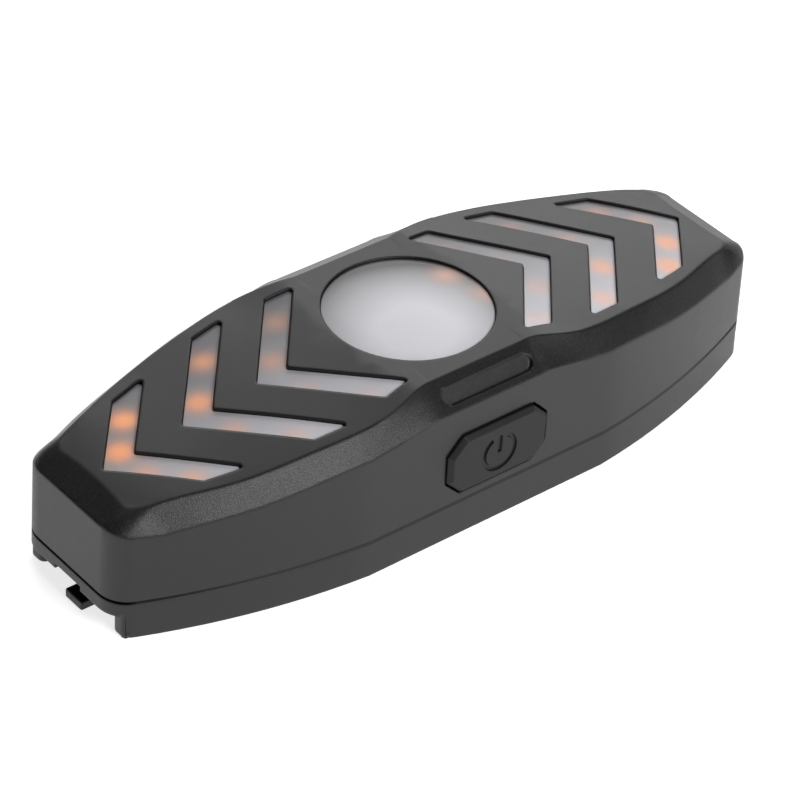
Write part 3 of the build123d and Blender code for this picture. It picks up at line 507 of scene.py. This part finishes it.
def cut_level(piece, level):
    """Cuts an edge loop through the whole piece at a height."""
    only(piece)
    bpy.ops.object.mode_set(mode="EDIT")
    bpy.ops.mesh.select_all(action="SELECT")
    bpy.ops.mesh.bisect(plane_co=(0, 0, level), plane_no=(0, 0, 1))
    bpy.ops.object.mode_set(mode="OBJECT")


def select_none(piece, kind):
    """Sets the selection to vertices, edges or faces, clears it and leaves edit mode."""
    only(piece)
    bpy.ops.object.mode_set(mode="EDIT")
    bpy.ops.mesh.select_mode(type=kind)
    bpy.ops.mesh.select_all(action="DESELECT")
    bpy.ops.object.mode_set(mode="OBJECT")


def faces_where(piece, test):
    """Selects the faces whose centre and normal pass the test, and returns how many do."""
    select_none(piece, "FACE")
    count = 0
    for face in piece.data.polygons:
        face.select = bool(test(face.center, face.normal))
        count += face.select
    return count


def round_edges(piece, width, test, segments=4):
    """Rounds the sharp outward edges whose middle, direction and two face normals pass the test."""
    sharp = math.radians(9)
    mesh = piece.data
    sides = {}
    for face in mesh.polygons:
        for key in face.edge_keys:
            sides.setdefault(key, []).append(face)
    select_none(piece, "EDGE")
    count = 0
    for edge in mesh.edges:
        faces = sides.get(tuple(sorted(edge.vertices)), [])
        if len(faces) != 2:
            continue
        first, second = (f.normal for f in faces)
        ends = [mesh.vertices[i].co for i in edge.vertices]
        middle = (ends[0] + ends[1]) / 2
        outward = (faces[1].center - faces[0].center).dot(first) < 0
        if first.angle(second) > sharp and outward and test(middle, ends[1] - ends[0], first, second):
            edge.select = True
            count += 1
    if not count:
        raise RuntimeError(f"no edge to round on {piece.name}")
    bpy.ops.object.mode_set(mode="EDIT")
    bpy.ops.mesh.bevel(
        offset=width, offset_type="OFFSET", segments=segments, profile=0.5, affect="EDGES", clamp_overlap=False)
    bpy.ops.object.mode_set(mode="OBJECT")


def faces_out(middle, normal):
    """Whether a face looks away from the light's upright axis."""
    return middle.x * normal.x + middle.y * normal.y > 0


def is_chamfer(middle, normal):
    """A sloping outer face between the roof and a wall."""
    return CHAMFER_LOW < normal.z < CHAMFER_HIGH and faces_out(middle, normal)


def is_roof_or_wall(middle, normal):
    """A nearly level face, or a nearly upright outer one."""
    return normal.z >= CHAMFER_HIGH or (abs(normal.z) < WALL_HIGH and faces_out(middle, normal))


def beside_chamfer(middle, first, second):
    """An edge between a chamfer and the roof above it or the wall below it."""
    return (is_chamfer(middle, first) and is_roof_or_wall(middle, second)) or (
        is_chamfer(middle, second) and is_roof_or_wall(middle, first))


def on_wing_chamfer(middle, run, first, second):
    """An edge beside a chamfer, on a wing."""
    return abs(middle.x) > WING_START and beside_chamfer(middle, first, second)


def on_scoop_rim(middle, run, first, second):
    """An edge of the scoop's rim, between the chamfer above the button and the scoop's upright wall."""
    sloping, not_roof, square_on = 0.7, 0.75, 0.2
    in_reach = abs(middle.x) < SCOOP_HALF and middle.y < SCOOP_FRONT and middle.z > SCOOP_LOW
    on_chamfer = max(first.z - abs(first.x), second.z - abs(second.x)) > sloping
    return in_reach and on_chamfer and min(first.z, second.z) < not_roof and abs(first.dot(second)) < square_on


def on_foot_corner(half):
    """Test for the upright edges at the ends of the feet, from the tray's half size."""
    upright, width_share = 0.9, 2.5

    def test(middle, run, first, second):
        at_end = abs(middle.x) > half.x - FOOT_NEAR_END and abs(middle.y) > half.y / width_share
        return middle.z < FOOT_TOP and abs(run.z) > upright * run.length and at_end

    return test


def on_foot_edge(middle, run, first, second):
    """An edge between the sole of a foot and its side."""
    at_floor, sole, side = 0.01 * MM, -0.9, -0.3
    return middle.z < at_floor and min(first.z, second.z) < sole and max(first.z, second.z) > side


def lift_corners(piece, rise):
    """Lifts the lower edge of the chamfer at the four corners, with a soft fall-off around them."""
    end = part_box("top_cover")[1].x
    low, high = CORNER_HEIGHTS
    for side_x in (-1, 1):
        for side_y in (-1, 1):
            select_none(piece, "VERT")
            corner = [
                v for v in piece.data.vertices
                if v.co.x * side_x > end - CORNER_NEAR_END and v.co.y * side_y > CORNER_OUT and low < v.co.z < high]
            if not corner:
                raise RuntimeError("the corner of the chamfer wasn't found")
            for vertex in corner:
                vertex.select = True
            bpy.ops.object.mode_set(mode="EDIT")
            bpy.ops.transform.translate(
                value=(0, 0, rise), use_proportional_edit=True, proportional_edit_falloff="SMOOTH",
                proportional_size=CORNER_REACH, use_proportional_connected=True)
            bpy.ops.object.mode_set(mode="OBJECT")


def tilt_scoop(piece, angle):
    """Turns the floor of the scoop towards the button: its lower edge sinks and its upper edge rises to the rim."""
    low, high, level = 0.6, 0.85, 0.05

    def on_slope(c, n):
        return abs(c.x) < SCOOP_HALF and c.y < SCOOP_FRONT and low < n.z < high and abs(n.x) < level

    rim = max(f.center.dot(f.normal) for f in piece.data.polygons if on_slope(f.center, f.normal))
    if not faces_where(piece, lambda c, n: on_slope(c, n) and c.dot(n) < rim - SCOOP_FLOOR_DEPTH):
        raise RuntimeError("the floor of the scoop wasn't found")
    floor = [piece.data.vertices[i].co for f in piece.data.polygons if f.select for i in f.vertices]
    centre = [(min(c[i] for c in floor) + max(c[i] for c in floor)) / 2 for i in range(3)]
    bpy.ops.object.mode_set(mode="EDIT")
    bpy.ops.transform.rotate(value=angle, orient_axis="X", center_override=centre)
    bpy.ops.object.mode_set(mode="OBJECT")


def give_second_finish(piece, material, test):
    """Puts a second material on the faces that pass the test."""
    piece.data.materials.append(material)
    faces_where(piece, test)
    piece.active_material_index = len(piece.data.materials) - 1
    bpy.ops.object.mode_set(mode="EDIT")
    bpy.ops.object.material_slot_assign()
    bpy.ops.object.mode_set(mode="OBJECT")


def solids_of(node):
    """Centre of each separate solid of a CAD node."""
    per_micron = 1e6
    mesh = FRAME["nodes"][node].data
    owner = {}

    def root(key):
        while owner.setdefault(key, key) != key:
            key = owner[key]
        return key

    keys = [tuple(round(c * per_micron) for c in v.co) for v in mesh.vertices]
    for face in mesh.polygons:
        first = root(keys[face.vertices[0]])
        for index in face.vertices[1:]:
            owner[root(keys[index])] = first
    groups = {}
    for key in set(keys):
        groups.setdefault(root(key), []).append(key)
    return [Vector([sum(k[i] for k in group) / len(group) / per_micron for i in range(3)]) for group in groups.values()]


def paint_glow(piece, places, reach):
    """Stores how strongly the points below light each vertex, for the frosted finishes."""
    values = []
    for vertex in piece.data.vertices:
        total = 0.0
        for place, strength in places:
            near = (Vector((vertex.co.x, vertex.co.y)) - Vector((place.x, place.y))).length
            total += strength * math.exp(-((near / reach) ** 2))
        values.append(min(1.0, total))
    glow = piece.data.attributes.new("glow", "FLOAT", "POINT")
    glow.data.foreach_set("value", values)


def glow_strength(place):
    """Strength of the painted glow: the outer arrows glow more, the left ones more, and of each arrow the arm that no
    reflection washes out.
    """
    first_arrow, arrow_span, least = 12 * MM, 24 * MM, 0.25
    right_share, washed_share = 0.7, 0.45
    outer = min(1.0, max(least, (abs(place.x) - first_arrow) / arrow_span))
    side = 1.0 if place.x < 0 else right_share
    return side * outer * (1.0 if place.x * place.y < 0 else washed_share)


def settle(piece, body, slot, *nodes):
    """Rides the piece on its body and hides the CAD nodes it stands for. The slot is not used."""
    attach(piece, body)
    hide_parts(*nodes)


class LIGHT_OT_covers(bpy.types.Operator):
    """Build the two black covers with rounded edges and the dark seam between them"""

    bl_idname = "light.covers"
    bl_label = "Covers"

    def execute(self, context):
        sizes = context.scene.light_sizes
        abs_finish, seam = moulded_abs(), seam_shadow()
        seam_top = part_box("top_cover")[0].z + sizes.seam_height
        upright = 0.4
        top = copy_of("top_cover", "cover_shell")
        cut_level(top, seam_top)
        top.data.materials.append(abs_finish)
        # the band below seam_top is painted black: painted shadow in the gap between the covers
        give_second_finish(top, seam, lambda c, n: c.z < seam_top and abs(n.z) < upright and faces_out(c, n))
        lift_corners(top, sizes.corner_lift)
        round_edges(top, sizes.scoop_edge, on_scoop_rim, segments=3)
        tilt_scoop(top, sizes.scoop_tilt)
        round_edges(top, sizes.roof_edge, on_wing_chamfer, segments=2)
        soften(top, 0.0)
        settle(top, "housing", "cover_plastic", "top_cover")
        rear = copy_of("rear_cover", "tray_shell")
        rear.data.materials.append(abs_finish)
        round_edges(rear, sizes.foot_corner, on_foot_corner(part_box("rear_cover")[1]))
        round_edges(rear, sizes.foot_edge, on_foot_edge, segments=3)
        soften(rear, 0.0)
        settle(rear, "housing", "cover_plastic", "rear_cover")
        return {"FINISHED"}


class LIGHT_OT_arrows(bpy.types.Operator):
    """Build the frosted arrow plates and the amber points that show in them"""

    bl_idname = "light.arrows"
    bl_label = "Arrows"

    def execute(self, context):
        sizes = context.scene.light_sizes
        frosted, grid_step = frosted_arrow(), 0.5 * MM
        for side, leds in (("left", "amber_leds_left"), ("right", "amber_leds_right")):
            node = f"{side}_chevron_lens"
            plate = copy_of(node, f"{side}_arrow_plate")
            cut_into_grid(plate, grid_step)
            soften(plate, 0.0)
            plate.data.materials.append(frosted)
            points = [(place + Vector(sizes.point_shift), glow_strength(place)) for place in solids_of(leds)]
            paint_glow(plate, points, sizes.glow_radius)
            settle(plate, "housing", "frosted_lens", node)
        return {"FINISHED"}


class LIGHT_OT_lens(bpy.types.Operator):
    """Build the opal brake lens"""

    bl_idname = "light.lens"
    bl_label = "Lens"

    def execute(self, context):
        grid_step = 0.8 * MM
        dome = copy_of("centre_lens", "opal_dome")
        cut_into_grid(dome, grid_step)
        soften(dome, 0.0)
        dome.data.materials.append(opal_lens())
        paint_glow(dome, LENS_POINTS, LENS_GLOW_RADIUS)
        settle(dome, "housing", "frosted_lens", "centre_lens")
        return {"FINISHED"}


class LIGHT_OT_rubber(bpy.types.Operator):
    """Build the silicone button, port flap, its anchor and the ribbed pad"""

    bl_idname = "light.rubber"
    bl_label = "Rubber pieces"

    def execute(self, context):
        sizes = context.scene.light_sizes
        silicone = moulded_silicone()
        for node, name, body, width in (
            ("power_button", "button_skin", "button", sizes.button_edge),
            ("port_cover", "flap_skin", "port_flap", sizes.rubber_edge),
            ("port_cover_anchor", "flap_anchor_skin", "housing", sizes.rubber_edge),
            ("mount_pad", "ribbed_pad_skin", "housing", sizes.rubber_edge),
        ):
            piece = copy_of(node, name)
            soften(piece, width)
            piece.data.materials.append(silicone)
            settle(piece, body, "button_rubber", node)
        return {"FINISHED"}


class LIGHT_OT_bracket(bpy.types.Operator):
    """Build the black bracket with its strap hooks"""

    bl_idname = "light.bracket"
    bl_label = "Bracket"

    def execute(self, context):
        bracket = copy_of("mount_bracket", "hook_bracket")
        soften(bracket, context.scene.light_sizes.bracket_edge, segments=3)
        bracket.data.materials.append(plain_finish(*FINISHES["black_plastic"]))
        settle(bracket, "housing", "black_plastic", "mount_bracket")
        return {"FINISHED"}


class LIGHT_OT_inside(bpy.types.Operator):
    """Give every carried-over CAD node the finish of its slot"""

    bl_idname = "light.inside"
    bl_label = "Inner pieces"

    def execute(self, context):
        made = {}
        for entry in FRAME["record"]["subparts"]:
            node, slot = FRAME["nodes"][entry["node"]], entry["material_slot"]
            if node.hide_render:
                continue
            if slot not in FINISHES:
                raise RuntimeError(f"no finish is written for slot {slot}")
            if slot not in made:
                made[slot] = plain_finish(*FINISHES[slot])
            node.data.materials.clear()
            node.data.materials.append(made[slot])
        return {"FINISHED"}


def pale_floor():
    """Painted board: nearly white to the eye, and clear from below, so that the underside shows."""
    seen_white = 0.77
    material = bpy.data.materials.new("pale_floor")
    material.use_nodes = True
    material.node_tree.nodes.clear()
    rays = add_node(material, "ShaderNodeLightPath")
    first = add_node(
        material, "ShaderNodeMath", {"operation": "ADD"}, i0=(rays, "Is Camera Ray"), i1=(rays, "Is Glossy Ray"))
    seen = add_node(
        material, "ShaderNodeMath", {"operation": "ADD", "use_clamp": True},
        i0=(first, "Value"), i1=(rays, "Is Transmission Ray"))
    strength = add_node(material, "ShaderNodeMath", {"operation": "MULTIPLY", 1: seen_white}, i0=(seen, "Value"))
    pale = add_node(material, "ShaderNodeBsdfDiffuse", {"Color": linear(bpy.context.scene.light_colours.floor)})
    lift = add_node(material, "ShaderNodeEmission", {"Color": grey(1.0)}, Strength=(strength, "Value"))
    both = add_node(material, "ShaderNodeAddShader", None, i0=(pale, 0), i1=(lift, 0))
    side = add_node(material, "ShaderNodeNewGeometry")
    clear = add_node(material, "ShaderNodeBsdfTransparent")
    shown = add_node(material, "ShaderNodeMixShader", None, i0=(side, "Backfacing"), i1=(both, 0), i2=(clear, 0))
    add_node(material, "ShaderNodeOutputMaterial", None, Surface=(shown, 0))
    return material


def studio_air():
    """World that the camera sees white, and that lights the object white from the horizon and dimly from above."""
    world = bpy.data.worlds.new("studio_air")
    world.use_nodes = True
    world.node_tree.nodes.clear()
    where = add_node(world, "ShaderNodeTexCoord")
    height = add_node(world, "ShaderNodeSeparateXYZ", None, Vector=(where, "Generated"))
    air = add_node(
        world, "ShaderNodeValToRGB",
        {"stops": [(0.0, grey(1.0)), (0.02, grey(1.0)), (0.08, grey(0.03)), (1.0, grey(0.04))]}, Fac=(height, "Z"))
    rays = add_node(world, "ShaderNodeLightPath")
    white = add_node(
        world, "ShaderNodeMix", {"data_type": "RGBA", 7: grey(1.0)}, Factor=(rays, "Is Camera Ray"), i6=(air, "Color"))
    sky = add_node(world, "ShaderNodeBackground", {"Strength": 1.0}, Color=(white, 2))
    add_node(world, "ShaderNodeOutputWorld", None, Surface=(sky, 0))
    return world


class LIGHT_OT_stage(bpy.types.Operator):
    """Build the pale floor, the soft lights, the world and the camera"""

    bl_idname = "light.stage"
    bl_label = "Stage"

    def execute(self, context):
        scene = context.scene
        floor_size, floor_gap = 8.0, 0.05 * MM
        bpy.ops.object.select_all(action="DESELECT")
        bpy.ops.mesh.primitive_plane_add(size=floor_size, location=(0, 0, -floor_gap))
        floor = context.active_object
        floor.name = "studio_floor"
        floor.data.materials.append(pale_floor())

        for name, place, wide, high, power in SOFTBOXES:
            bpy.ops.object.light_add(type="AREA", location=place)
            lamp = context.active_object
            lamp.name = name
            lamp.data.shape = "RECTANGLE"
            lamp.data.size, lamp.data.size_y = wide, high
            lamp.data.energy = power
            lamp.rotation_mode = "QUATERNION"
            lamp.rotation_quaternion = (-Vector(place)).to_track_quat("-Z", "Y")
            lamp.visible_camera = False
        scene.world = studio_air()

        bpy.ops.object.camera_add(location=Vector(CAMERA_PLACE) * MM)
        camera = context.active_object
        camera.name = "product_camera"
        azimuth, elevation, roll = (math.radians(a) for a in CAMERA_ANGLES)
        forward = Vector((
            -math.sin(azimuth) * math.cos(elevation), math.cos(azimuth) * math.cos(elevation),
            -math.sin(elevation)))
        right = forward.cross(Vector((0, 0, 1))).normalized()
        down = forward.cross(right)
        turned_right = right * math.cos(roll) + down * math.sin(roll)
        turned_down = down * math.cos(roll) - right * math.sin(roll)
        camera.rotation_mode = "QUATERNION"
        camera.rotation_quaternion = Matrix((turned_right, -turned_down, -forward)).transposed().to_quaternion()
        camera.data.sensor_width = CAMERA_SENSOR
        camera.data.lens = CAMERA_LENS
        camera.data.clip_start, camera.data.clip_end = 0.01, 50.0
        scene.camera = camera
        scene.view_settings.view_transform = "Standard"
        return {"FINISHED"}


OPERATORS = (
    LIGHT_OT_covers, LIGHT_OT_arrows, LIGHT_OT_lens, LIGHT_OT_rubber, LIGHT_OT_bracket, LIGHT_OT_inside, LIGHT_OT_stage)


class LIGHT_PT_panel(bpy.types.Panel):
    """Lists the steps that dress the light."""

    bl_idname = "LIGHT_PT_panel"
    bl_label = "Turn signal light"
    bl_space_type = "VIEW_3D"
    bl_region_type = "UI"
    bl_category = "Light"

    def draw(self, context):
        for group in (context.scene.light_sizes, context.scene.light_colours):
            for name in group.__annotations__:
                self.layout.prop(group, name)
        for step in OPERATORS:
            self.layout.operator(step.bl_idname)


CLASSES = (LightSizes, LightColours, *OPERATORS, LIGHT_PT_panel)


def register():
    for cls in CLASSES:
        bpy.utils.register_class(cls)
    bpy.types.Scene.light_sizes = bpy.props.PointerProperty(type=LightSizes)
    bpy.types.Scene.light_colours = bpy.props.PointerProperty(type=LightColours)


def unregister():
    del bpy.types.Scene.light_colours
    del bpy.types.Scene.light_sizes
    for cls in reversed(CLASSES):
        bpy.utils.unregister_class(cls)


def main():
    """Registers the add-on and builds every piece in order."""
    register()
    bpy.ops.light.covers()
    bpy.ops.light.arrows()
    bpy.ops.light.lens()
    bpy.ops.light.rubber()
    bpy.ops.light.bracket()
    bpy.ops.light.inside()
    bpy.ops.light.stage()


if __name__ == "__main__":
    main()
